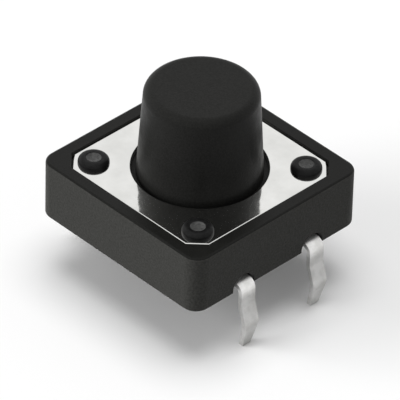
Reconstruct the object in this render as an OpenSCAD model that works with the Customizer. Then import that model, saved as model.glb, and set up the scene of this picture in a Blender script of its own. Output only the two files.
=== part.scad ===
// Tactile push button switch, 12 mm square, through-hole, tall round button.
// The underside of the base lies on the circuit board at z = 0 and the legs go down through it.
// The legs leave the base on its -X and +X faces.

/* [Base] */
// Width of the square moulded base
base_w = 12; // [11.5:0.1:14]
// Height of the base, from the board to the top of its rim
base_h = 3.5; // [3.3:0.1:4.5]
// Radius of the base's upright corners
base_corner_r = 0.9; // [0.4:0.1:1.2]
// Width of the rim round the cover plate
rim_w = 0.8; // [0.6:0.05:1.1]
// Radius of the rim's outer top edge
rim_edge_r = 0.15; // [0.05:0.05:0.3]
// Chamfer of the base's bottom edge
bottom_chamfer = 0.12; // [0.05:0.01:0.2]
// How far the cover plate lies below the rim
cover_recess = 0.1; // [0.05:0.05:0.3]

/* [Cover plate] */
// Thickness of the stainless cover plate
cover_t = 0.3; // [0.2:0.05:0.4]
// Gap between the cover plate and the rim
cover_gap = 0.05; // [0.02:0.01:0.15]
// Length cut off each corner of the cover plate, along its edges
cover_chamfer = 0.85; // [0.5:0.05:1.1]

/* [Staked pegs] */
// Distance of each peg's axis from the two nearest edges of the cover plate
peg_inset = 1.2; // [1.1:0.05:1.3]
// Diameter of the peg's shank
peg_d = 1.2; // [0.9:0.05:1.3]
// Gap between the peg and its hole in the cover plate
peg_gap = 0.05; // [0.03:0.01:0.1]
// Diameter of the staked head
head_d = 1.7; // [1.5:0.05:1.8]
// Height of the staked head above the cover plate
head_h = 0.35; // [0.25:0.05:0.5]
// Radius of the staked head's edge
head_edge_r = 0.22; // [0.1:0.02:0.24]
// Diameter of the hollow that the staking tool leaves in the head
dish_d = 0.8; // [0.5:0.05:1]
// Depth of that hollow
dish_depth = 0.08; // [0.02:0.02:0.14]

/* [Button] */
// Height of the button's top above the board
overall_h = 8.5; // [6:0.5:12]
// Sheet left between the button's hole in the cover plate and a peg's hole
cover_web = 1.3; // [1.1:0.05:2]
// How much the stem's radius shrinks from its flange to its top
stem_draft = 0.33; // [0.1:0.01:0.5]
// Radius of the button's top edge
stem_edge_r = 0.5; // [0.2:0.1:0.8]
// Gap round the stem in the cover plate
stem_gap = 0.25; // [0.1:0.05:0.3]
// How far the flange reaches out past the stem
flange_lip = 0.6; // [0.5:0.05:0.7]
// Thickness of the flange
flange_t = 0.8; // [0.6:0.05:0.9]
// Gap between the flange and the underside of the cover plate
flange_play = 0.05; // [0.02:0.01:0.1]
// Gap between the flange and the wall of its well
flange_gap = 0.2; // [0.1:0.05:0.3]
// Diameter of the nub that presses the dome
nub_d = 2; // [1.6:0.1:2.4]
// Chamfer of the nub's edge
nub_chamfer = 0.25; // [0.1:0.05:0.3]
// Gap between the nub and the dome at rest
nub_gap = 0.02; // [0.01:0.01:0.05]

/* [Contact dome] */
// Width of the shelf between the well for the flange and the well for the dome
dome_shelf = 0.5; // [0.3:0.05:0.8]
// Height of the relaxed dome
dome_h = 0.4; // [0.38:0.01:0.45]
// Thickness of the dome's sheet
dome_t = 0.08; // [0.05:0.01:0.1]
// Gap round the dome in its well
dome_gap = 0.15; // [0.1:0.05:0.25]
// Travel of the button until the dome meets the centre contact
travel = 0.3; // [0.25:0.01:0.3]

/* [Terminals] */
// Thickness of the terminals' sheet
strip_t = 0.3; // [0.25:0.01:0.35]
// Height of the strips' underside above the board
strip_z = 0.3; // [0.25:0.05:0.35]
// Width of the strips and the legs
leg_w = 1; // [0.8:0.05:1.1]
// Distance between the two legs on one side
leg_pitch = 5; // [4.8:0.1:5.2]
// Gap between the base's side and a leg
leg_gap = 0.1; // [0.05:0.05:0.3]
// Length of the legs below the board's upper face
leg_len = 3.5; // [3:0.1:4]
// Radius inside the bend at the top of a leg
leg_bend_r = 0.25; // [0.15:0.05:0.3]
// Depth at which the snap-in knee starts
knee_start = 0.75; // [0.6:0.05:0.9]
// Depth of the knee's outermost point
knee_depth = 1.9; // [1.7:0.1:2.1]
// How far the knee stands out
knee_out = 0.35; // [0.1:0.05:0.4]
// Radius of the knee's bends along the middle of the sheet
knee_r = 0.5; // [0.3:0.1:0.6]
// How far the leg's tip lies inside its upper part
tip_in = 0.05; // [0:0.01:0.1]
// Width of a leg's tip
tip_w = 0.6; // [0.4:0.05:0.8]
// Thickness of the plastic over the strips
floor_skin = 0.15; // [0.1:0.01:0.2]
// How far the outer contacts stand above the well's floor
contact_rise = 0.05; // [0.02:0.01:0.1]
// Diameter of the outer contacts
contact_d = 0.7; // [0.5:0.05:0.8]
// Distance of the outer contacts' axes inside the dome's edge
contact_inset = 0.25; // [0.2:0.05:0.4]
// Diameter of the centre contact
centre_contact_d = 1.4; // [1:0.1:1.8]
// Width of the ring that carries the outer contacts
ring_w = 1; // [0.9:0.05:1.2]
// Plastic between the ring's ends and the other strip
strip_space = 0.5; // [0.4:0.05:0.7]

/* [Moulded details] */
// Space on each side of a leg in its notch
notch_side_gap = 0.25; // [0.15:0.05:0.4]
// Height of the notch over a leg
notch_h = 0.95; // [0.9:0.05:1.2]
// Depth of the notch into the base's side
notch_depth = 0.45; // [0.4:0.05:0.5]
// Diameter of the holes that the mould's pins leave under the strips
pin_hole_d = 0.8; // [0.5:0.05:0.9]
// Distance of those holes from the base's side
pin_hole_inset = 1.6; // [1.4:0.1:2]
// Diameter of the ejector marks on the underside
ejector_d = 1.4; // [1:0.1:1.6]
// Depth of the ejector marks
ejector_depth = 0.1; // [0.05:0.01:0.15]
// Distance of the ejector marks from the base's side
ejector_inset = 1.5; // [1.2:0.1:2]
// Chamfer at the mouth of the well for the dome
dome_lead_in = 0.15; // [0.05:0.05:0.2]

/* [Hidden] */
$fn = 96;

plastic_black = [0.15, 0.15, 0.14];
button_black = [0.18, 0.18, 0.17];
steel = [0.86, 0.86, 0.84];
silver = [0.8, 0.8, 0.78];
dome_silver = [0.75, 0.74, 0.7];

// Overlap between a cutter and the face it opens
over = 0.1;
// Straight pieces that stand in for the arc of one bend
bend_steps = 6;
// Straight pieces that stand in for the dome's arc
dome_steps = 14;
// Directions of the outer contacts round the dome's axis
contact_angles = [15, 165, 240, 300];

// Heights of the stack above the board
ledge_z = base_h - cover_recess - cover_t;
cover_top_z = ledge_z + cover_t;
strip_top_z = strip_z + strip_t;
well_floor_z = strip_top_z + floor_skin;
dome_z = well_floor_z + contact_rise;
dome_top_z = dome_z + dome_h;
centre_contact_z = dome_top_z - dome_t - travel;
nub_z = dome_top_z + nub_gap;
flange_top_z = ledge_z - flange_play;
flange_z = flange_top_z - flange_t;

// Sizes across the base
pocket_w = base_w - 2 * rim_w;
cover_w = pocket_w - 2 * cover_gap;
peg_xy = cover_w / 2 - peg_inset;
peg_hole_d = peg_d + 2 * peg_gap;
stem_hole_d = 2 * (peg_xy * sqrt(2) - peg_hole_d / 2 - cover_web);
stem_base_d = stem_hole_d - 2 * stem_gap;
flange_d = stem_base_d + 2 * flange_lip;
well_d = flange_d + 2 * flange_gap;
dome_well_d = well_d - 2 * (dome_shelf + dome_lead_in);
dome_d = dome_well_d - 2 * dome_gap;
contact_r = dome_d / 2 - contact_inset;
leg_x = base_w / 2 + leg_gap + strip_t / 2;
leg_root_x = base_w / 2 - notch_depth - leg_bend_r;
leg_y = leg_pitch / 2;
notch_w = leg_w + 2 * notch_side_gap;

function unit(v) = v / norm(v);
function left_of(v) = [-v[1], v[0]];
function turned(v, angle) = [v[0] * cos(angle) - v[1] * sin(angle), v[0] * sin(angle) + v[1] * cos(angle)];
function turn_between(a, b) = atan2(a[0] * b[1] - a[1] * b[0], a * b);
function reversed(list) = [for (i = [len(list) - 1:-1:0]) list[i]];

// Points of one bend of a strip, at a distance to the left of its middle line
function bend_points(before, corner, after, radius, offset_left) =
    let (
        a = unit(corner - before),
        turn = turn_between(a, unit(after - corner)),
        side = sign(turn),
        centre = corner - a * radius * tan(abs(turn) / 2) + left_of(a) * radius * side
    )
    [
        for (step = [0:bend_steps])
            let (normal = left_of(turned(a, turn * step / bend_steps)))
            centre + normal * (offset_left - side * radius)
    ];

// One side of a strip bent along a path, with a radius for each inner corner
function strip_side(path, radii, offset_left) =
    let (last = len(path) - 1)
    concat(
        [path[0] + left_of(unit(path[1] - path[0])) * offset_left],
        [
            for (i = [1:last - 1])
                each bend_points(path[i - 1], path[i], path[i + 1], radii[i - 1], offset_left)
        ],
        [path[last] + left_of(unit(path[last] - path[last - 1])) * offset_left]
    );

// Side view of a strip of even thickness bent along a path
module bent_strip(path, radii, thickness) {
    polygon(concat(
        strip_side(path, radii, thickness / 2),
        reversed(strip_side(path, radii, -thickness / 2))
    ));
}

// Square with its corners cut off by the same length along both edges
module chamfered_square(width, chamfer) {
    half = width / 2;
    short = half - chamfer;
    polygon([
        [half, -short], [half, short], [short, half], [-short, half],
        [-half, short], [-half, -short], [-short, -half], [short, -half]
    ]);
}

// Half section of a disc whose upper edge is rounded
module rounded_disc_section(radius, height, edge_r) {
    square([radius, height - edge_r]);
    square([radius - edge_r, height]);
    translate([radius - edge_r, height - edge_r])
        intersection() {
            circle(edge_r);
            square(edge_r);
        }
}

// Section through the outer wall of the base, from the corner's axis outwards
module wall_section() {
    difference() {
        rounded_disc_section(base_corner_r, base_h, rim_edge_r);
        polygon([
            [base_corner_r - bottom_chamfer, 0], [base_corner_r + over, -over],
            [base_corner_r + over, bottom_chamfer + over], [base_corner_r, bottom_chamfer]
        ]);
    }
}

// Outside of the base: a core, four sides and four round corners
module base_block() {
    core = base_w / 2 - base_corner_r;
    translate([-core, -core, 0])
        cube([2 * core, 2 * core, base_h]);
    for (turn = [0:90:270])
        rotate(turn) {
            translate([core, 0, 0])
                rotate([90, 0, 0])
                    linear_extrude(2 * core, center = true)
                        wall_section();
            translate([core, core, 0])
                rotate_extrude(angle = 90)
                    wall_section();
        }
}

// Well for the flange, stepped down to the well for the dome
module well() {
    dome_r = dome_well_d / 2;
    shelf_z = dome_top_z + dome_lead_in;
    rotate_extrude()
        polygon([
            [0, well_floor_z], [dome_r, well_floor_z], [dome_r, dome_top_z],
            [dome_r + dome_lead_in, shelf_z], [well_d / 2, shelf_z],
            [well_d / 2, base_h + over], [0, base_h + over]
        ]);
}

// Peg of the base, staked over the cover plate
module staked_peg() {
    translate([0, 0, ledge_z])
        cylinder(d = peg_d, h = cover_t);
    translate([0, 0, cover_top_z])
        rotate_extrude()
            difference() {
                rounded_disc_section(head_d / 2, head_h, head_edge_r);
                polygon([
                    [0, head_h - dish_depth], [dish_d / 2 - dish_depth, head_h - dish_depth],
                    [dish_d / 2, head_h], [dish_d / 2, head_h + over], [0, head_h + over]
                ]);
            }
}

// Arched notch over one leg, open at the side and at the bottom
module leg_notch() {
    translate([base_w / 2 - notch_depth, 0, 0])
        rotate([90, 0, 90])
            linear_extrude(notch_depth + over) {
                translate([0, notch_h - notch_w / 2])
                    circle(d = notch_w);
                translate([-notch_w / 2, -over])
                    square([notch_w, notch_h - notch_w / 2 + over]);
            }
}

// What is moulded or left open round the terminals, on the underside and the sides
module underside_cuts() {
    for (turn = [0, 180], y = [-leg_y, leg_y])
        rotate(turn)
            translate([0, y, 0]) {
                leg_notch();
                translate([base_w / 2 - pin_hole_inset, 0, -over])
                    cylinder(d = pin_hole_d, h = strip_z + over);
            }
    for (y = [-1, 1] * (base_w / 2 - ejector_inset))
        translate([0, y, -over])
            cylinder(d = ejector_d, h = ejector_depth + over);
}

module base() {
    color(plastic_black) {
        difference() {
            base_block();
            translate([0, 0, ledge_z])
                linear_extrude(base_h)
                    chamfered_square(pocket_w, cover_chamfer);
            well();
            underside_cuts();
            terminal_centre();
            terminal_outer();
        }
        for (x = [-peg_xy, peg_xy], y = [-peg_xy, peg_xy])
            translate([x, y, 0])
                staked_peg();
    }
}

module cover_plate() {
    color(steel)
        translate([0, 0, ledge_z])
            linear_extrude(cover_t)
                difference() {
                    chamfered_square(cover_w, cover_chamfer);
                    circle(d = stem_hole_d);
                    for (x = [-peg_xy, peg_xy], y = [-peg_xy, peg_xy])
                        translate([x, y])
                            circle(d = peg_hole_d);
                }
}

// Section of the button turned round its axis: nub, flange and tapered stem
module button() {
    base_r = stem_base_d / 2;
    top_r = base_r - stem_draft;
    lean = atan2(stem_draft, overall_h - flange_top_z);
    // The edge's arc touches both the flat top and the leaning side
    arc_x = top_r - stem_edge_r * (1 - sin(lean)) / cos(lean);
    arc_z = overall_h - stem_edge_r;
    color(button_black)
        rotate_extrude()
            polygon(concat(
                [[0, nub_z], [nub_d / 2 - nub_chamfer, nub_z], [nub_d / 2, nub_z + nub_chamfer]],
                [[nub_d / 2, flange_z], [flange_d / 2, flange_z]],
                [[flange_d / 2, flange_top_z], [base_r, flange_top_z]],
                [
                    for (step = [0:bend_steps])
                        let (angle = lean + (90 - lean) * step / bend_steps)
                        [arc_x + stem_edge_r * cos(angle), arc_z + stem_edge_r * sin(angle)]
                ],
                [[0, overall_h]]
            ));
}

// Snap dome: a shallow cap of spring sheet that rests on its edge
module contact_dome() {
    cap_h = dome_h - dome_t;
    cap_r = dome_d / 2;
    inner_r = (cap_r * cap_r + cap_h * cap_h) / (2 * cap_h);
    outer_r = inner_r + dome_t;
    centre_z = dome_z + cap_h - inner_r;
    half_angle = asin(cap_r / inner_r);
    color(dome_silver)
        translate([0, 0, centre_z])
            rotate_extrude()
                polygon(concat(
                    [
                        for (step = [0:dome_steps])
                            let (angle = half_angle * step / dome_steps)
                            [inner_r * sin(angle), inner_r * cos(angle)]
                    ],
                    [
                        for (step = [dome_steps:-1:0])
                            let (angle = half_angle * step / dome_steps)
                            [outer_r * sin(angle), outer_r * cos(angle)]
                    ]
                ));
}

// One leg on the +X side: out of the base, down, and out and in again at the snap-in knee
module leg() {
    mid_z = strip_z + strip_t / 2;
    intersection() {
        rotate([90, 0, 0])
            linear_extrude(leg_w, center = true)
                bent_strip(
                    [
                        [leg_root_x, mid_z], [leg_x, mid_z], [leg_x, -knee_start],
                        [leg_x + knee_out, -knee_depth], [leg_x - tip_in, -leg_len]
                    ],
                    [leg_bend_r + strip_t / 2, knee_r, knee_r],
                    strip_t
                );
        rotate([90, 0, 90])
            linear_extrude(base_w)
                polygon([
                    [-leg_w / 2, base_h], [-leg_w / 2, -knee_depth], [-tip_w / 2, -leg_len],
                    [tip_w / 2, -leg_len], [leg_w / 2, -knee_depth], [leg_w / 2, base_h]
                ]);
    }
}

// Straight strip right across the base with a leg at each end
module leg_pair() {
    translate([-leg_root_x, -leg_w / 2, strip_z])
        cube([2 * leg_root_x, leg_w, strip_t]);
    for (turn = [0, 180])
        rotate(turn)
            leg();
}

module terminal_centre() {
    color(silver) {
        translate([0, leg_y, 0])
            leg_pair();
        translate([-leg_w / 2, 0, strip_z])
            cube([leg_w, leg_y, strip_t]);
        translate([0, 0, strip_z])
            cylinder(d = centre_contact_d + leg_w / 2, h = strip_t);
        translate([0, 0, strip_z])
            cylinder(d = centre_contact_d, h = centre_contact_z - strip_z);
    }
}

module terminal_outer() {
    ring_end_y = leg_y - leg_w / 2 - strip_space;
    ring_reach = contact_r + ring_w / 2;
    arm_room = leg_w + 2 * strip_space;
    color(silver) {
        translate([0, -leg_y, 0])
            leg_pair();
        translate([0, 0, strip_z])
            linear_extrude(strip_t)
                difference() {
                    circle(r = ring_reach);
                    circle(r = contact_r - ring_w / 2);
                    translate([-ring_reach - over, ring_end_y])
                        square([2 * ring_reach + 2 * over, ring_reach]);
                    translate([-arm_room / 2, 0])
                        square([arm_room, ring_reach + over]);
                }
        for (angle = contact_angles)
            rotate(angle)
                translate([contact_r, 0, strip_z])
                    cylinder(d = contact_d, h = dome_z - strip_z);
    }
}

base();
cover_plate();
button();
contact_dome();
terminal_centre();
terminal_outer();
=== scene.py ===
"""Looks of a tactile push button switch, 12 mm square with a tall round button."""
import math

import bmesh
import bpy
from mathutils import Matrix, Vector


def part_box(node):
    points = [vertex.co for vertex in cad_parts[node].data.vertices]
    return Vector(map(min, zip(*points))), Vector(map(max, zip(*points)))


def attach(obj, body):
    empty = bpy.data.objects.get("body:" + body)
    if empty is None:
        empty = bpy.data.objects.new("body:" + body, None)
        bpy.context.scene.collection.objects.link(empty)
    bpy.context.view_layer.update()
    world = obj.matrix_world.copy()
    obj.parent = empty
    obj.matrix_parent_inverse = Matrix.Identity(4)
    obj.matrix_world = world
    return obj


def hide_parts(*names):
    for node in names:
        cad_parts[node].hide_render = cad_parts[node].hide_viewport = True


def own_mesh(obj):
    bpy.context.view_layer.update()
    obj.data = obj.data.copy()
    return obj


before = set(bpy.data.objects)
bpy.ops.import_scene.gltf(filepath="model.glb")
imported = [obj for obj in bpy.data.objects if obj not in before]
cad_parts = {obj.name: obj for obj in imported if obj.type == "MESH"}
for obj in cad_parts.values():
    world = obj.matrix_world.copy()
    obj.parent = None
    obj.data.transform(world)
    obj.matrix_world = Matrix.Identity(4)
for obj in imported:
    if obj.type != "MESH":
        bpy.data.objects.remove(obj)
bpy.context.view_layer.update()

MM = 0.001

# Sizes that the CAD nodes give
BASE_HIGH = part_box("base")[1]
COVER_LOW, COVER_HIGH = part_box("cover_plate")
BUTTON_LOW, BUTTON_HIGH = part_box("button")
DOME_LOW, DOME_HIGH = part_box("contact_dome")
CENTRE_LOW, CENTRE_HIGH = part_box("terminal_centre")

# Moulded base and the pocket for its cover
HALF_W = BASE_HIGH[0]
CORNER_R = 0.9 * MM
RIM_EDGE_R = 0.15 * MM
BOTTOM_CHAMFER = 0.12 * MM
COVER_GAP = 0.05 * MM
COVER_RECESS = 0.1 * MM
COVER_CHAMFER = 0.85 * MM
COVER_EDGE = 0.07 * MM
LEDGE_Z = COVER_LOW[2]
COVER_TOP = COVER_HIGH[2]
COVER_HALF = COVER_HIGH[0]
RIM_TOP = COVER_TOP + COVER_RECESS
POCKET_HALF = COVER_HALF + COVER_GAP
MOULD_EDGE = 0.035 * MM

# Staked pegs, whose heads are pressed hollow
PEG_INSET = 1.2 * MM
PEG_XY = COVER_HALF - PEG_INSET
PEG_R = 0.6 * MM
PEG_GAP = 0.05 * MM
PEG_HOLE_R = PEG_R + PEG_GAP
HEAD_R = 0.85 * MM
HEAD_TOP = BASE_HIGH[2]
HEAD_EDGE_R = 0.28 * MM
DISH_R = 0.4 * MM
DISH_DEPTH = 0.08 * MM
DISH_EDGE_R = 0.05 * MM
DISH_FLOOR_R = 0.7 * DISH_R
DISH_MIDDLE_R = 0.35 * DISH_R
DISH_MIDDLE_DEPTH = 1.1 * DISH_DEPTH

# Button
TRAVEL = 0.3 * MM
FLANGE_R = BUTTON_HIGH[0]
FLANGE_T = 0.8 * MM
FLANGE_WIDTH = 0.6 * MM
FLANGE_GAP = 0.05 * MM
FLANGE_TOP = LEDGE_Z - FLANGE_GAP
FLANGE_Z = FLANGE_TOP - FLANGE_T
STEM_R = FLANGE_R - FLANGE_WIDTH
STEM_DRAFT = 0.33 * MM
STEM_GAP = 0.25 * MM
STEM_HOLE_R = STEM_R + STEM_GAP
STEM_EDGE_R = 0.5 * MM
NUB_Z = BUTTON_LOW[2]
NUB_R = 1.0 * MM
NUB_EDGE_R = 0.2 * MM
BUTTON_TOP = BUTTON_HIGH[2]
BUTTON_EDGE = 0.08 * MM

# Wells and dome
DOME_R = DOME_HIGH[0]
DOME_Z = DOME_LOW[2]
DOME_TOP = DOME_HIGH[2]
DOME_T = 0.08 * MM
WELL_GAP = 0.2 * MM
WELL_R = FLANGE_R + WELL_GAP
DOME_GAP = 0.15 * MM
DOME_WELL_R = DOME_R + DOME_GAP
LEAD_IN = 0.15 * MM
CONTACT_RISE = 0.05 * MM
WELL_FLOOR = DOME_Z - CONTACT_RISE

# Strips of sheet, with a leg at each end
STRIP_T = 0.3 * MM
STRIP_Z = 0.3 * MM
STRIP_MID_Z = STRIP_Z + STRIP_T / 2
LEG_W = 1.0 * MM
LEG_Y = CENTRE_HIGH[1] - LEG_W / 2
LEG_FOOT = CENTRE_LOW[2]
LEG_GAP = 0.1 * MM
LEG_X = HALF_W + LEG_GAP + STRIP_T / 2
LEG_BEND_R = 0.4 * MM
KNEE_START = -0.75 * MM
KNEE_Z = -1.9 * MM
KNEE_REACH = 0.35 * MM
KNEE_X = LEG_X + KNEE_REACH
KNEE_R = 0.5 * MM
TIP_TUCK = 0.05 * MM
TIP_X = LEG_X - TIP_TUCK
TIP_W = 0.6 * MM
STAMPED_EDGE = 0.04 * MM

# Contacts that the strips carry under the dome
CONTACT_R = 0.35 * MM
CONTACT_EDGE_R = 0.05 * MM
CONTACT_INSET = 0.25 * MM
CONTACT_RING_R = DOME_R - CONTACT_INSET
CONTACT_ANGLES = (15, 165, 240, 300)
RING_HALF_W = 0.5 * MM
STRIP_SPACE = 0.5 * MM
RING_END_Y = LEG_Y - LEG_W / 2 - STRIP_SPACE
CENTRE_CONTACT_R = 0.7 * MM
CENTRE_CONTACT_Z = DOME_TOP - DOME_T - TRAVEL
CENTRE_DISC_R = CENTRE_CONTACT_R + LEG_W / 4

# What is joined to a strip steps in from its faces by this, and the pin holes reach into its slot by
# this, so that no two faces lie in one plane
HAIR = 0.005 * MM

# Notches over the legs, and the marks that the mould leaves on the underside
NOTCH_GAP = 0.25 * MM
NOTCH_HALF = LEG_W / 2 + NOTCH_GAP
NOTCH_TOP = 0.95 * MM
NOTCH_DEPTH = 0.45 * MM
NOTCH_BACK = HALF_W - NOTCH_DEPTH
PIN_HOLE_R = 0.4 * MM
PIN_HOLE_INSET = 1.6 * MM
PIN_HOLE_X = HALF_W - PIN_HOLE_INSET
EJECTOR_R = 0.7 * MM
EJECTOR_INSET = 1.5 * MM
EJECTOR_Y = HALF_W - EJECTOR_INSET
EJECTOR_DEPTH = 0.1 * MM

# An arch rounds almost half of its notch, so that two of them don't meet
ARCH_R = 0.99 * NOTCH_HALF

# Steps of a full circle: for turned forms and the well, for the ring of contacts, and for what is small
TURNED_STEPS = 128
RING_STEPS = 96
SMALL_STEPS = 48

# Roundings larger than this get more segments
COARSE_R = 0.3 * MM

# Camera of the photograph, in degrees and metres
CAMERA_AZIMUTH = 45.2
CAMERA_ELEVATION = 38.0
CAMERA_ROLL = 1.6
CAMERA_DISTANCE = 0.3
CAMERA_AIM = (0, 0, 3.5 * MM)
AIM_DROP = 1.9 * MM
FRAME_WIDTH = 21 * MM

# Light that a level white surface gets from the room
AMBIENT = 0.3

# The floor's grey to the camera and to reflections, the share of light that it sends back up, and half
# of its width in metres
FLOOR_WHITE = 0.93
FLOOR_BOUNCE = 0.5
FLOOR_HALF = 2

# Points nearer than this are one point
MERGE = 1e-7

# Edges shorter than this go when solids are joined or cut
SLIVER = 1e-6

# Turns between two faces: in one plane, flat enough to join, and sharp enough to round
SAME_PLANE = math.radians(0.05)
FLAT_ANGLE = math.radians(1)
CRISP_ANGLE = math.radians(35)

# A face whose normal has this share along an axis faces straight along it
STRAIGHT = 0.99999

# A face broader than this is shaded flat, as level ones are
BROAD = 1.5 * MM * MM

# Places of the base's finishes in its list of materials. The smooth finish has a smoother surface and a
# darker colour that is painted shade, on the rim's top and in the notches; the melted one is painted
# darker as shade on the peg heads, and the pressed one lighter as a highlight in their hollows
GRAINED, SMOOTH_PAINTED_SHADE, MELTED_PAINTED_SHADE, PRESSED_PAINTED_HIGHLIGHT = range(4)

# Colour sockets of a Mix node, which has others of the same names
MIX_A, MIX_B, MIX_RESULT = 6, 7, 2

# The plating is painted bright at the bend of the legs, a painted highlight for the sky that the bend
# reflects, and darker down their shanks and towards the tips, painted shade for the dark base and shadow
# that they reflect: a span of heights and the greys along it, each as (share of the span, grey)
PAINTED_SHADE_SPAN_MM = (-3.6, 0.4)
PAINTED_SHADE_GREYS = ((0, 0.72), (0.2, 0.72), (0.4, 0.70), (0.6, 0.59), (0.84, 0.62), (0.94, 1))


def verts_in(geometry):
    """The points among a mix of points, edges and faces"""
    return [item for item in geometry if isinstance(item, bmesh.types.BMVert)]


def edges_in(geometry):
    """The edges among a mix of points, edges and faces"""
    return [item for item in geometry if isinstance(item, bmesh.types.BMEdge)]


def edges_where(bm, test):
    """Edges that pass a test of their middle and of themselves"""
    return [edge for edge in bm.edges if test((edge.verts[0].co + edge.verts[1].co) / 2, edge)]


def crisp_edges(bm):
    """Edges at which a surface turns sharply"""
    return [edge for edge in bm.edges if edge.is_manifold and edge.calc_face_angle(0) > CRISP_ANGLE]


def lies_at(item, height):
    """Whether all points of an edge or a face lie at a height"""
    return all(abs(vert.co.z - height) < MERGE for vert in item.verts)


def round_edges(bm, edges, radius, segments):
    """Bevels edges with round sections"""
    bmesh.ops.bevel(
        bm, geom=edges, offset=radius, offset_type="OFFSET", affect="EDGES",
        segments=segments, profile=0.5, material=-1,
    )


def round_corner(bm, vert, radius, segments):
    """Rounds the corner of a wire with an arc that touches both of its edges"""
    one, other = [edge.other_vert(vert).co - vert.co for edge in vert.link_edges]
    offset = radius / math.tan(one.angle(other) / 2)
    bmesh.ops.bevel(
        bm, geom=[vert], offset=offset, offset_type="OFFSET", affect="VERTICES",
        segments=segments, profile=0.5, material=-1,
    )


def wire(bm, corners, closed=False):
    """A wire in the plane y = 0, from corners of (across, height, rounding radius)"""
    verts = [bm.verts.new((x, 0, z)) for x, z, _ in corners]
    for start, end in zip(verts, verts[1:] + verts[:1] if closed else verts[1:]):
        bm.edges.new((start, end))
    for vert, (_, _, radius) in zip(verts, corners):
        if radius:
            round_corner(bm, vert, radius, segments=10 if radius > COARSE_R else 4)
    return bm


def turned(corners, steps=TURNED_STEPS):
    """A wire spun round the Z axis"""
    bm = wire(bmesh.new(), corners)
    bmesh.ops.spin(
        bm, geom=bm.verts[:] + bm.edges[:], cent=(0, 0, 0), axis=(0, 0, 1),
        angle=2 * math.pi, steps=steps, use_merge=True,
    )
    cleaned(bm)
    return bm


def arc(centre, radius, start, end, steps):
    """Points of an arc as (radius, height), by angles from level"""
    return [
        (centre[0] + radius * math.cos(angle), centre[1] + radius * math.sin(angle))
        for angle in [math.radians(start + (end - start) * step / steps) for step in range(steps + 1)]
    ]


def circle(bm, centre, radius, height, steps):
    """Edges of a circle that lies flat"""
    made = bmesh.ops.create_circle(
        bm, cap_ends=False, radius=radius, segments=steps,
        matrix=Matrix.Translation((centre[0], centre[1], height)),
    )
    return list({edge for vert in made["verts"] for edge in vert.link_edges})


def octagon(bm, half, chamfer, height):
    """Edges of a square with cut corners that lies flat"""
    made = bmesh.ops.create_grid(
        bm, x_segments=1, y_segments=1, size=half, matrix=Matrix.Translation((0, 0, height)),
    )
    cut = bmesh.ops.bevel(
        bm, geom=made["verts"], offset=chamfer, offset_type="OFFSET", affect="VERTICES",
        segments=1, profile=0.5, material=-1,
    )
    face = cut["verts"][0].link_faces[0]
    edges = face.edges[:]
    bmesh.ops.delete(bm, geom=[face], context="FACES_ONLY")
    return edges


def fill(bm, edges):
    """Fills the flat area between outlines"""
    bmesh.ops.triangle_fill(bm, use_beauty=True, use_dissolve=False, edges=edges)


def close(bm, ring):
    """Closes a ring with one face"""
    bmesh.ops.edgeloop_fill(bm, edges=ring)


def open_flat(bm, height, outlines):
    """Cuts outlines into the largest face at a height"""
    level = [face for face in bm.faces if lies_at(face, height)]
    face = max(level, key=lambda one: one.calc_area())
    border = face.edges[:]
    bmesh.ops.delete(bm, geom=[face], context="FACES_ONLY")
    fill(bm, border + [edge for outline in outlines for edge in outline])


def thicken(bm, way):
    """Makes a flat sheet a solid by a move of its copy"""
    made = bmesh.ops.extrude_face_region(bm, geom=bm.faces[:], use_keep_orig=True)["geom"]
    bmesh.ops.translate(bm, vec=way, verts=verts_in(made))


def slice_at(bm, point, normal, **cleared):
    """Cuts all faces by a plane and gives back the edges of the cut"""
    cut = bmesh.ops.bisect_plane(
        bm, geom=bm.verts[:] + bm.edges[:] + bm.faces[:], dist=MERGE,
        plane_co=point, plane_no=normal, **cleared,
    )
    return edges_in(cut["geom_cut"])


def carry(bm, ring, places, centre=(0, 0), half=None):
    """Extrudes a ring of edges through (radius, height) and returns the last ring

    A ring that isn't round has a half width, which the radius then stands for."""
    middle = Vector((centre[0], centre[1], 0))
    for radius, height in places:
        made = bmesh.ops.extrude_edge_only(bm, edges=ring)["geom"]
        verts = set(verts_in(made))
        ring = [edge for edge in edges_in(made) if edge.verts[0] in verts and edge.verts[1] in verts]
        for vert in verts:
            out = vert.co - middle
            out.z = 0
            vert.co = middle + out * (radius / (half or out.length))
            vert.co.z = height
        half = radius if half else None
    return ring


def eased(radius, height, edge, drop, outwards=1):
    """Places that carry a ring over a small round edge and down a wall

    The ring starts at the flat, one edge radius short of the wall."""
    centre = (radius - outwards * edge, height - edge)
    over = arc(centre, edge, 90, 0, steps=3)[1:]
    places = [(centre[0] + outwards * (r - centre[0]), z) for r, z in over]
    return places + [(radius, drop)]


def cleaned(bm):
    """Merges double points and turns all faces outwards"""
    bmesh.ops.remove_doubles(bm, verts=bm.verts, dist=MERGE)
    bmesh.ops.recalc_face_normals(bm, faces=bm.faces)


def placed(name, bm):
    """Object of a bmesh, which is used up"""
    mesh = bpy.data.meshes.new(name)
    bm.to_mesh(mesh)
    bm.free()
    made = bpy.data.objects.new(name, mesh)
    bpy.context.collection.objects.link(made)
    return made


def finished(name, bm, body, material, nodes):
    """Makes a piece of a bmesh, with its flats shaded flat"""
    cleaned(bm)
    piece = placed(name, bm)
    piece.data.materials.append(material)
    for face in piece.data.polygons:
        face.use_smooth = abs(face.normal.z) < STRAIGHT and face.area < BROAD
    shading = piece.modifiers.new("flat faces stay flat", "WEIGHTED_NORMAL")
    shading.weight = 100
    shading.keep_sharp = True
    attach(piece, body)
    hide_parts(*nodes)
    return piece


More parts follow.
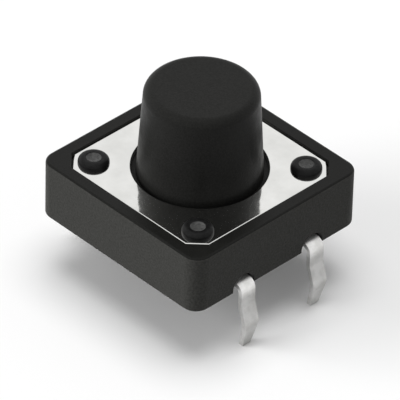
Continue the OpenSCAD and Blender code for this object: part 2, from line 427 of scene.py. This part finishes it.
def fitted(solids, operation):
    """One bmesh of the first solid, joined with the others or cut by them in turn"""
    whole = solids[0]
    for other in solids[1:]:
        holders = []
        for bm in (whole, other):
            cleaned(bm)
            bmesh.ops.triangulate(bm, faces=bm.faces)
            bmesh.ops.dissolve_degenerate(bm, dist=SLIVER, edges=bm.edges)
            holders.append(placed("solid", bm))
        step = holders[0].modifiers.new("fit", "BOOLEAN")
        step.operation = operation
        step.solver = "EXACT"
        step.object = holders[1]
        done = holders[0].evaluated_get(bpy.context.evaluated_depsgraph_get())
        whole = bmesh.new()
        whole.from_mesh(done.to_mesh())
        done.to_mesh_clear()
        for holder in holders:
            bpy.data.meshes.remove(holder.data)
        bmesh.ops.remove_doubles(whole, verts=whole.verts, dist=MERGE)
        bmesh.ops.dissolve_degenerate(whole, dist=SLIVER, edges=whole.edges)
        bmesh.ops.dissolve_limit(
            whole, angle_limit=SAME_PLANE, verts=whole.verts, edges=whole.edges, delimit={"NORMAL"},
        )
    return whole


def bmesh_of(piece):
    """Copy of a piece's mesh"""
    bm = bmesh.new()
    bm.from_mesh(piece.data)
    return bm


def four_corners(half_x, half_y):
    """The four places at plus and minus a half width and a half depth"""
    return [(x, y) for x in (-half_x, half_x) for y in (-half_y, half_y)]


def in_recess(point):
    """Whether a point lies in a notch, or on its back or side walls"""
    inside = NOTCH_BACK - MERGE < abs(point.x) < HALF_W - MERGE
    return inside and abs(abs(point.y) - LEG_Y) < NOTCH_HALF + MERGE


def sink_notches(bm):
    """Sinks a square notch over each leg, open to the side and to the underside"""
    for side in (-1, 1):
        slice_at(bm, (side * NOTCH_BACK, 0, 0), (1, 0, 0))
    for y in (-LEG_Y, LEG_Y):
        for side in (-1, 1):
            slice_at(bm, (0, y + side * NOTCH_HALF, 0), (0, 1, 0))
    slice_at(bm, (0, 0, NOTCH_TOP), (0, 0, 1))

    def over_leg(face):
        point = face.calc_center_median()
        beside = abs(point.x) > NOTCH_BACK and abs(abs(point.y) - LEG_Y) < NOTCH_HALF
        return beside and point.z < NOTCH_TOP

    for side in (-1, 1):
        mouth = [face for face in bm.faces if over_leg(face) and face.normal.x * side > STRAIGHT]
        made = bmesh.ops.extrude_face_region(bm, geom=mouth)["geom"]
        bmesh.ops.translate(bm, vec=(-side * NOTCH_DEPTH, 0, 0), verts=verts_in(made))
        bmesh.ops.delete(bm, geom=mouth, context="FACES_ONLY")
    undersides = [face for face in bm.faces if over_leg(face) and lies_at(face, 0)]
    bmesh.ops.delete(bm, geom=undersides, context="FACES")
    bmesh.ops.remove_doubles(bm, verts=bm.verts, dist=MERGE)
    bmesh.ops.dissolve_limit(bm, angle_limit=FLAT_ANGLE, verts=bm.verts, edges=bm.edges)


def block_with_notches():
    """Outer block of the base, with its round corners and the arched notches over the legs"""
    bm = bmesh.new()
    bmesh.ops.create_cube(bm, size=2)
    bmesh.ops.scale(bm, vec=(HALF_W, HALF_W, RIM_TOP / 2), verts=bm.verts)
    bmesh.ops.translate(bm, vec=(0, 0, RIM_TOP / 2), verts=bm.verts)
    uprights = edges_where(bm, lambda middle, edge: abs(middle.z - RIM_TOP / 2) < MERGE)
    round_edges(bm, uprights, CORNER_R, segments=12)
    sink_notches(bm)
    arches = edges_where(
        bm, lambda middle, edge: abs(middle.z - NOTCH_TOP) < MERGE
        and NOTCH_BACK < abs(middle.x) < HALF_W - MERGE
        and abs(edge.verts[0].co.x - edge.verts[1].co.x) > MERGE
    )
    round_edges(bm, arches, ARCH_R, segments=8)
    rim = edges_where(bm, lambda middle, edge: lies_at(edge, RIM_TOP))
    round_edges(bm, rim, RIM_EDGE_R, segments=5)
    foot = edges_where(bm, lambda middle, edge: lies_at(edge, 0) and not in_recess(middle))
    round_edges(bm, foot, BOTTOM_CHAMFER, segments=1)
    round_edges(bm, crisp_edges(bm), MOULD_EDGE, segments=2)
    return bm


def open_pocket(bm):
    """Opens the pocket for the cover, with the stepped well and the staked pegs in its ledge"""
    pocket = octagon(bm, POCKET_HALF + MOULD_EDGE, COVER_CHAMFER, RIM_TOP)
    open_flat(bm, RIM_TOP, [pocket])
    lip = eased(POCKET_HALF, RIM_TOP, MOULD_EDGE, LEDGE_Z, outwards=-1)
    pocket = carry(bm, pocket, lip, half=POCKET_HALF + MOULD_EDGE)
    well = circle(bm, (0, 0), WELL_R, LEDGE_Z, TURNED_STEPS)
    pegs = four_corners(PEG_XY, PEG_XY)
    shanks = [circle(bm, peg, PEG_R, LEDGE_Z, SMALL_STEPS) for peg in pegs]
    fill(bm, pocket + well + [edge for shank in shanks for edge in shank])

    shelf = DOME_TOP + LEAD_IN
    well = carry(bm, well, [
        (WELL_R, shelf), (DOME_WELL_R + LEAD_IN, shelf),
        (DOME_WELL_R, DOME_TOP), (DOME_WELL_R, WELL_FLOOR),
    ])
    close(bm, well)

    head = [(PEG_R, COVER_TOP), (HEAD_R, COVER_TOP)]
    head += arc((HEAD_R - HEAD_EDGE_R, HEAD_TOP - HEAD_EDGE_R), HEAD_EDGE_R, 0, 90, steps=6)
    head += arc((DISH_R + DISH_EDGE_R, HEAD_TOP - DISH_EDGE_R), DISH_EDGE_R, 90, 150, steps=4)
    head += [(DISH_FLOOR_R, HEAD_TOP - DISH_DEPTH), (DISH_MIDDLE_R, HEAD_TOP - DISH_MIDDLE_DEPTH)]
    for peg, shank in zip(pegs, shanks):
        close(bm, carry(bm, shank, head, peg))


def open_underside(bm):
    """Sinks the four pin holes and the two ejector marks"""
    hollows = [(place, PIN_HOLE_R, STRIP_Z + HAIR) for place in four_corners(PIN_HOLE_X, LEG_Y)]
    hollows += [((0, y), EJECTOR_R, EJECTOR_DEPTH) for y in (-EJECTOR_Y, EJECTOR_Y)]
    mouths = [circle(bm, place, radius + MOULD_EDGE, 0, SMALL_STEPS) for place, radius, _ in hollows]
    open_flat(bm, 0, mouths)
    for ring, (place, radius, depth) in zip(mouths, hollows):
        way_in = [(r, -z) for r, z in eased(radius, 0, MOULD_EDGE, -depth, outwards=-1)]
        close(bm, carry(bm, ring, way_in, place))


def region(point):
    """Which of the base's finishes a point of it has"""
    from_peg = math.hypot(abs(point.x) - PEG_XY, abs(point.y) - PEG_XY)
    if from_peg < HEAD_R and point.z > COVER_TOP - MERGE:
        # Peg heads get a plastic painted darker for shade, and the hollows in them one painted lighter for
        # a highlight
        return PRESSED_PAINTED_HIGHLIGHT if from_peg < DISH_R and point.z < HEAD_TOP - MERGE else MELTED_PAINTED_SHADE
    # Notch walls get the smooth plastic, whose darker colour is painted shade
    if in_recess(point) and 0 < point.z < NOTCH_TOP + MERGE:
        return SMOOTH_PAINTED_SHADE
    # The rim's top and its round edge get the smooth plastic: a smoother surface, with a darker colour
    # that is painted shade
    return SMOOTH_PAINTED_SHADE if point.z > RIM_TOP - RIM_EDGE_R / 2 else GRAINED


def base_housing(strips, grained, smooth_painted_shade, melted_painted_shade, pressed_painted_highlight):
    """Moulded base: rim and pocket, stepped well, staked pegs, notches, marks and slots for the strips"""
    bm = block_with_notches()
    open_pocket(bm)
    open_underside(bm)
    bm = fitted([bm] + [bmesh_of(strip) for strip in strips], "DIFFERENCE")
    piece = finished("base_housing", bm, "housing", grained, ["base"])
    # The smooth and melted plastics are painted darker for shade, and the pressed one lighter for a
    # highlight
    for other in (smooth_painted_shade, melted_painted_shade, pressed_painted_highlight):
        piece.data.materials.append(other)
    for face in piece.data.polygons:
        face.material_index = region(face.center)
    return piece


def cover_sheet(steel):
    """Stamped stainless sheet with cut corners, a hole for the button and four for the pegs"""
    bm = bmesh.new()
    outer_half = COVER_HALF - COVER_EDGE
    rings = [(octagon(bm, outer_half, COVER_CHAMFER, COVER_TOP), (0, 0), COVER_HALF, 1, outer_half)]
    holes = [((0, 0), STEM_HOLE_R, TURNED_STEPS)]
    holes += [(place, PEG_HOLE_R, SMALL_STEPS) for place in four_corners(PEG_XY, PEG_XY)]
    for place, radius, steps in holes:
        rings.append((circle(bm, place, radius + COVER_EDGE, COVER_TOP, steps), place, radius, -1, None))
    fill(bm, [edge for ring in rings for edge in ring[0]])
    lower = []
    for ring, place, radius, outwards, half in rings:
        way_down = eased(radius, COVER_TOP, COVER_EDGE, LEDGE_Z, outwards)
        lower += carry(bm, ring, way_down, place, half)
    fill(bm, lower)
    return finished("cover_sheet", bm, "housing", steel, ["cover_plate"])


def press_button(plastic):
    """Moulded button: nub, flange and tapered stem with a round top edge"""
    bm = turned([
        (0, NUB_Z, 0), (NUB_R, NUB_Z, NUB_EDGE_R), (NUB_R, FLANGE_Z, 0),
        (FLANGE_R, FLANGE_Z, BUTTON_EDGE), (FLANGE_R, FLANGE_TOP, BUTTON_EDGE), (STEM_R, FLANGE_TOP, 0),
        (STEM_R - STEM_DRAFT, BUTTON_TOP, STEM_EDGE_R), (0, BUTTON_TOP, 0),
    ])
    return finished("press_button", bm, "plunger", plastic, ["button"])


def snap_dome(silver):
    """Shallow cap of spring sheet that rests on its edge"""
    cap_h = DOME_TOP - DOME_Z - DOME_T
    inner_r = (DOME_R ** 2 + cap_h ** 2) / (2 * cap_h)
    centre_z = DOME_Z + cap_h - inner_r
    half_angle = math.degrees(math.asin(DOME_R / (inner_r + DOME_T)))
    inner = arc((0, centre_z), inner_r, 90, 90 - half_angle, steps=20)
    outer = arc((0, centre_z), inner_r + DOME_T, 90 - half_angle, 90, steps=20)
    bm = turned([(r, z, 0) for r, z in inner + outer])
    piece = finished("snap_dome", bm, "housing", silver, ["contact_dome"])
    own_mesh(piece)
    return piece


def offset_path(path, distance):
    """The corners of a path moved to its left, each as (across, height, rounding radius)"""
    points = [Vector((x, z)) for x, z, _ in path]
    ways = [(after - before).normalized() for before, after in zip(points, points[1:])]
    lefts = [Vector((-way.y, way.x)) for way in ways]
    befores, afters = [lefts[0]] + lefts, lefts + [lefts[-1]]
    turns = [0] + [one.cross(other) for one, other in zip(ways, ways[1:])] + [0]
    moved = []
    for point, before, after, turn, (_, _, radius) in zip(points, befores, afters, turns, path):
        place = point + (before + after) / (1 + before.dot(after)) * distance
        rounding = radius - math.copysign(1, turn) * distance if radius else 0
        moved.append((place.x, place.y, rounding))
    return moved


def leg_strip(y):
    """Strip of sheet across the base, with a leg bent down and kinked at each end"""
    slope = (KNEE_X - TIP_X) / (KNEE_Z - LEG_FOOT)
    half_path = [
        (TIP_X - slope * STRIP_T, LEG_FOOT - STRIP_T, 0), (KNEE_X, KNEE_Z, KNEE_R),
        (LEG_X, KNEE_START, KNEE_R), (LEG_X, STRIP_MID_Z, LEG_BEND_R),
    ]
    path = half_path + [(-x, z, r) for x, z, r in reversed(half_path)]
    outline = offset_path(path, STRIP_T / 2) + offset_path(path, -STRIP_T / 2)[::-1]
    bm = wire(bmesh.new(), outline, closed=True)
    close(bm, bm.edges[:])
    bmesh.ops.translate(bm, vec=(0, y - LEG_W / 2, 0), verts=bm.verts)
    thicken(bm, (0, LEG_W, 0))
    slice_at(bm, (0, 0, KNEE_Z), (0, 0, 1))
    feet = slice_at(bm, (0, 0, LEG_FOOT), (0, 0, 1), clear_inner=True)
    bmesh.ops.holes_fill(bm, edges=feet, sides=0)
    for vert in bm.verts:
        down = max(0, (KNEE_Z - vert.co.z) / (KNEE_Z - LEG_FOOT))
        half = LEG_W / 2 - (LEG_W - TIP_W) / 2 * down
        vert.co.y = y + math.copysign(half, vert.co.y - y)
    bmesh.ops.recalc_face_normals(bm, faces=bm.faces)
    round_edges(bm, crisp_edges(bm), STAMPED_EDGE, segments=2)
    return bm


def stud(place, radius, foot, top):
    """Round contact that stands up from a strip"""
    bm = turned([(0, foot, 0), (radius, foot, 0), (radius, top, CONTACT_EDGE_R), (0, top, 0)], SMALL_STEPS)
    bmesh.ops.translate(bm, vec=(place[0], place[1], 0), verts=bm.verts)
    return bm


def centre_arm():
    """Arm from the strip to the middle of the well"""
    bm = bmesh.new()
    bmesh.ops.create_cube(bm, size=1)
    bmesh.ops.scale(bm, vec=(LEG_W, LEG_Y, STRIP_T - 2 * HAIR), verts=bm.verts)
    bmesh.ops.translate(bm, vec=(0, LEG_Y / 2, STRIP_MID_Z), verts=bm.verts)
    return bm


def contact_ring():
    """Open ring of sheet that carries the outer contacts"""
    bm = bmesh.new()
    outline = circle(bm, (0, 0), CONTACT_RING_R + RING_HALF_W, STRIP_Z + HAIR, RING_STEPS)
    outline += circle(bm, (0, 0), CONTACT_RING_R - RING_HALF_W, STRIP_Z + HAIR, RING_STEPS)
    fill(bm, outline)
    thicken(bm, (0, 0, STRIP_T - 2 * HAIR))
    ends = slice_at(bm, (0, RING_END_Y, 0), (0, 1, 0), clear_outer=True)
    bmesh.ops.holes_fill(bm, edges=ends, sides=0)
    return bm


def centre_terminal(silver):
    """Strip whose arm holds the contact under the middle of the dome"""
    disc = stud((0, 0), CENTRE_DISC_R, STRIP_Z + 2 * HAIR, STRIP_Z + STRIP_T - 2 * HAIR)
    point = stud((0, 0), CENTRE_CONTACT_R, STRIP_MID_Z, CENTRE_CONTACT_Z)
    bm = fitted([leg_strip(LEG_Y), centre_arm(), disc, point], "UNION")
    return finished("centre_terminal", bm, "housing", silver, ["terminal_centre"])


def outer_terminal(silver):
    """Strip whose ring holds the contacts under the edge of the dome"""
    places = [
        (CONTACT_RING_R * math.cos(math.radians(angle)), CONTACT_RING_R * math.sin(math.radians(angle)))
        for angle in CONTACT_ANGLES
    ]
    points = [stud(place, CONTACT_R, STRIP_MID_Z, DOME_Z) for place in places]
    bm = fitted([contact_ring()] + points + [leg_strip(-LEG_Y)], "UNION")
    return finished("outer_terminal", bm, "housing", silver, ["terminal_outer"])


class Finish:
    """Node material whose patterns are measured in millimetres on Object coordinates"""

    def __init__(self, name, **settings):
        self.material = bpy.data.materials.new(name)
        self.material.use_nodes = True
        self.tree = self.material.node_tree
        self.tree.nodes.clear()
        self.shader = self.add("ShaderNodeBsdfPrincipled")
        for socket, value in settings.items():
            self.shader.inputs[socket.replace("_", " ")].default_value = value
        output = self.add("ShaderNodeOutputMaterial")
        self.link(self.shader, "BSDF", output, "Surface")
        self.place = self.add("ShaderNodeTexCoord")

    def add(self, kind, **settings):
        """A new node with its settings"""
        node = self.tree.nodes.new(kind)
        for name, value in settings.items():
            setattr(node, name, value)
        return node

    def link(self, start, output, end, socket):
        """Joins an output of one node to a socket of another"""
        self.tree.links.new(start.outputs[output], end.inputs[socket])

    def in_mm(self, stretch=(1, 1, 1)):
        """Object coordinates in millimetres, stretched by a share along each axis"""
        mapping = self.add("ShaderNodeMapping")
        mapping.inputs["Scale"].default_value = [share / MM for share in stretch]
        self.link(self.place, "Object", mapping, "Vector")
        return mapping

    def noise(self, per_mm, detail=2.0, roughness=0.5, stretch=(1, 1, 1)):
        """Cloudy pattern with so many clouds to a millimetre"""
        noise = self.add("ShaderNodeTexNoise")
        noise.inputs["Scale"].default_value = per_mm
        noise.inputs["Detail"].default_value = detail
        noise.inputs["Roughness"].default_value = roughness
        self.link(self.in_mm(stretch), "Vector", noise, "Vector")
        return noise

    def spread(self, source, low, high, start=0.3, end=0.7, output="Fac"):
        """Maps a pattern to values from low to high"""
        node = self.add("ShaderNodeMapRange")
        node.inputs["From Min"].default_value = start
        node.inputs["From Max"].default_value = end
        node.inputs["To Min"].default_value = low
        node.inputs["To Max"].default_value = high
        self.link(source, output, node, "Value")
        return node

    def by_height(self, bottom_mm, top_mm):
        """Rises from 0 to 1 between two heights over the board"""
        split = self.add("ShaderNodeSeparateXYZ")
        self.link(self.in_mm(), "Vector", split, "Vector")
        return self.spread(split, 0, 1, bottom_mm, top_mm, "Z")

    def colours(self, source, low, high, start=0.3, end=0.7):
        """Maps a pattern to colours from low to high"""
        ramp = self.add("ShaderNodeValToRGB")
        ramp.color_ramp.elements[0].position = start
        ramp.color_ramp.elements[0].color = (*low, 1)
        ramp.color_ramp.elements[1].position = end
        ramp.color_ramp.elements[1].color = (*high, 1)
        self.link(source, "Fac", ramp, "Fac")
        self.link(ramp, "Color", self.shader, "Base Color")
        return ramp

    def greyed(self, share, colour, stops):
        """Darkens the finish's colour by greys that stand along a share from 0 to 1"""
        ramp = self.add("ShaderNodeValToRGB")
        points = ramp.color_ramp.elements
        for place, _ in stops[1:-1]:
            points.new(place)
        for point, (place, grey) in zip(points, stops):
            point.position = place
            point.color = (grey, grey, grey, 1)
        self.link(share, "Result", ramp, "Fac")
        mix = self.add("ShaderNodeMix", data_type="RGBA", blend_type="MULTIPLY")
        mix.inputs["Factor"].default_value = 1
        self.link(ramp, "Color", mix, MIX_A)
        self.link(colour, "Color", mix, MIX_B)
        self.link(mix, MIX_RESULT, self.shader, "Base Color")

    def bump(self, source, depth_mm, under=None):
        """Raises the surface by a pattern, on top of an earlier bump"""
        node = self.add("ShaderNodeBump")
        node.inputs["Strength"].default_value = 1
        node.inputs["Distance"].default_value = depth_mm * MM
        self.link(source, "Fac", node, "Height")
        if under:
            self.link(under, "Normal", node, "Normal")
        return node

    def roughened(self, source, low, high):
        """Gives the shader a roughness that follows a pattern from low to high"""
        self.link(self.spread(source, low, high), "Result", self.shader, "Roughness")

    def raised(self, bump):
        """Gives the shader its last bump, and returns the material"""
        self.link(bump, "Normal", self.shader, "Normal")
        return self.material


def moulded_black(name, low, high, rough, gloss, grain_per_mm, grain_mm):
    """Black moulded plastic with a fine spark-eroded grain"""
    finish = Finish(name, IOR=1.5, Specular_IOR_Level=gloss)
    pits = finish.noise(grain_per_mm, detail=3, roughness=0.6)
    finish.colours(pits, low, high, start=0.36, end=0.66)
    finish.roughened(finish.noise(per_mm=2.2, detail=4), *rough)
    sink = finish.bump(finish.noise(per_mm=0.35, detail=1), depth_mm=0.006)
    return finish.raised(finish.bump(pits, grain_mm, under=sink))


def rolled_stainless():
    """Bright rolled stainless sheet, nearly a mirror, with faint rolling lines"""
    finish = Finish("rolled stainless sheet", Metallic=1.0)
    finish.colours(finish.noise(per_mm=0.8, detail=3), (0.72, 0.72, 0.70), (0.82, 0.82, 0.80))
    lines = finish.noise(per_mm=4.0, stretch=(3, 0.1, 1))
    finish.roughened(lines, 0.05, 0.10)
    waves = finish.bump(finish.noise(per_mm=0.55), depth_mm=0.02)
    mottle = finish.bump(finish.noise(per_mm=3.0), depth_mm=0.0006, under=waves)
    return finish.raised(finish.bump(lines, depth_mm=0.00025, under=mottle))


def plated(name, low, high, rough, metal):
    """Bright silver over brass, with a breath of tarnish and fine drawn lines, painted bright at the bend
    and darker down the shanks as painted highlight and painted shade
    """
    finish = Finish(name, Metallic=metal)
    tarnish = finish.noise(per_mm=1.6, detail=4, roughness=0.6)
    silver = finish.colours(tarnish, low, high, start=0.35, end=0.6)
    # Painted highlight at the bend and painted shade down the shanks and at the tips: the colour is
    # darkened by height
    finish.greyed(finish.by_height(*PAINTED_SHADE_SPAN_MM), silver, PAINTED_SHADE_GREYS)
    lines = finish.noise(per_mm=4.0, stretch=(1, 3, 0.2))
    finish.roughened(lines, *rough)
    dents = finish.bump(finish.noise(per_mm=1.5, detail=1), depth_mm=0.0012)
    return finish.raised(finish.bump(lines, depth_mm=0.0004, under=dents))


def white_floor():
    """White matt board, which lights the object from below only as a grey one would"""
    finish = Finish("white board", Specular_IOR_Level=0)
    rays = finish.add("ShaderNodeLightPath")
    seen = finish.add("ShaderNodeMix", data_type="RGBA")
    finish.link(rays, "Is Diffuse Ray", seen, "Factor")
    seen.inputs[MIX_A].default_value = (FLOOR_WHITE, FLOOR_WHITE, FLOOR_WHITE, 1)
    seen.inputs[MIX_B].default_value = (FLOOR_BOUNCE, FLOOR_BOUNCE, FLOOR_BOUNCE, 1)
    finish.link(seen, MIX_RESULT, finish.shader, "Base Color")
    return finish.material


def light_room():
    """Plain world: white to the camera, to reflections and through glass, and dimmer as light"""
    world = bpy.data.worlds.new("light room")
    bpy.context.scene.world = world
    world.use_nodes = True
    tree = world.node_tree
    background = tree.nodes["Background"]
    background.inputs["Color"].default_value = (1, 1, 1, 1)
    rays = tree.nodes.new("ShaderNodeLightPath")
    seen = rays.outputs["Is Camera Ray"]
    for kind in ("Is Glossy Ray", "Is Transmission Ray"):
        either = tree.nodes.new("ShaderNodeMath")
        either.operation = "MAXIMUM"
        tree.links.new(seen, either.inputs[0])
        tree.links.new(rays.outputs[kind], either.inputs[1])
        seen = either.outputs[0]
    strength = tree.nodes.new("ShaderNodeMapRange")
    strength.inputs["To Min"].default_value = AMBIENT
    tree.links.new(seen, strength.inputs["Value"])
    tree.links.new(strength.outputs["Result"], background.inputs["Strength"])


def sun(name, direction, share, spread):
    """Distant soft lamp of a share of full white, which metal doesn't show as a bright disc"""
    lamp = bpy.data.lights.new(name, "SUN")
    lamp.energy = math.pi * share
    lamp.angle = math.radians(spread)
    holder = bpy.data.objects.new(name, lamp)
    holder.rotation_euler = Vector(direction).to_track_quat("Z", "Y").to_euler()
    holder.visible_glossy = False
    bpy.context.collection.objects.link(holder)


def floor(white):
    """Wide floor under the tips of the legs"""
    bm = bmesh.new()
    level = Matrix.Translation((0, 0, LEG_FOOT))
    bmesh.ops.create_grid(bm, x_segments=1, y_segments=1, size=FLOOR_HALF, matrix=level)
    plane = placed("floor", bm)
    plane.data.materials.append(white)


def photo_camera():
    """Camera at the photograph's viewing angle, with the object large in the frame"""
    azimuth, elevation = math.radians(CAMERA_AZIMUTH), math.radians(CAMERA_ELEVATION)
    level = math.cos(elevation)
    out = Vector((math.sin(azimuth) * level, -math.cos(azimuth) * level, math.sin(elevation)))
    turn = out.to_track_quat("Z", "Y").to_matrix() @ Matrix.Rotation(math.radians(CAMERA_ROLL), 3, "Z")
    lens = bpy.data.cameras.new("camera")
    lens.sensor_width = 36
    lens.lens = lens.sensor_width * CAMERA_DISTANCE / FRAME_WIDTH
    lens.clip_start = 0.01
    lens.clip_end = 10
    camera = bpy.data.objects.new("camera", lens)
    aim = Vector(CAMERA_AIM) + turn @ Vector((0, -AIM_DROP, 0))
    camera.matrix_world = Matrix.Translation(aim + out * CAMERA_DISTANCE) @ turn.to_4x4()
    bpy.context.collection.objects.link(camera)
    bpy.context.scene.camera = camera


bpy.context.scene.view_settings.view_transform = "Standard"
photo_camera()
light_room()
sun("overhead light", direction=(-0.03, 0.05, 1), share=0.57, spread=44)
sun("window light", direction=(-0.7, -0.9, 0.3), share=0.88, spread=44)
floor(white_floor())

housing_plastic = moulded_black(
    "grained housing plastic", low=(0.038, 0.038, 0.0355), high=(0.056, 0.056, 0.0525),
    rough=(0.44, 0.58), gloss=0.04, grain_per_mm=9, grain_mm=0.016,
)
# Smooth plastic for the rim and the notches, painted darker for shade
rim_plastic_painted_shade = moulded_black(
    "smooth rim plastic", low=(0.006, 0.006, 0.0055), high=(0.011, 0.011, 0.010),
    rough=(0.30, 0.42), gloss=0.1, grain_per_mm=12, grain_mm=0.003,
)
# Plastic of the peg heads, painted darker for the shade on their rounded sides
peg_plastic_painted_shade = moulded_black(
    "melted peg plastic", low=(0.007, 0.007, 0.007), high=(0.012, 0.012, 0.012),
    rough=(0.26, 0.40), gloss=0.1, grain_per_mm=5, grain_mm=0.006,
)
# Plastic of the hollows in the peg heads, painted lighter for a highlight
dish_plastic_painted_highlight = moulded_black(
    "pressed hollow plastic", low=(0.045, 0.045, 0.045), high=(0.09, 0.09, 0.088),
    rough=(0.22, 0.34), gloss=0.1, grain_per_mm=6, grain_mm=0.004,
)
button_plastic = moulded_black(
    "moulded button plastic", low=(0.0115, 0.0115, 0.0108), high=(0.0175, 0.0175, 0.0165),
    rough=(0.34, 0.46), gloss=0.07, grain_per_mm=11, grain_mm=0.008,
)
stainless = rolled_stainless()
silver_plate = plated(
    "silver plated strip", low=(0.775, 0.77, 0.75), high=(0.95, 0.945, 0.93),
    rough=(0.3, 0.44), metal=0.6,
)
dome_silver = plated(
    "silver faced spring sheet", low=(0.76, 0.74, 0.69), high=(0.86, 0.85, 0.82),
    rough=(0.14, 0.2), metal=1.0,
)

strips = [centre_terminal(silver_plate), outer_terminal(silver_plate)]
base_housing(strips, housing_plastic, rim_plastic_painted_shade, peg_plastic_painted_shade, dish_plastic_painted_highlight)
cover_sheet(stainless)
press_button(button_plastic)
snap_dome(dome_silver)
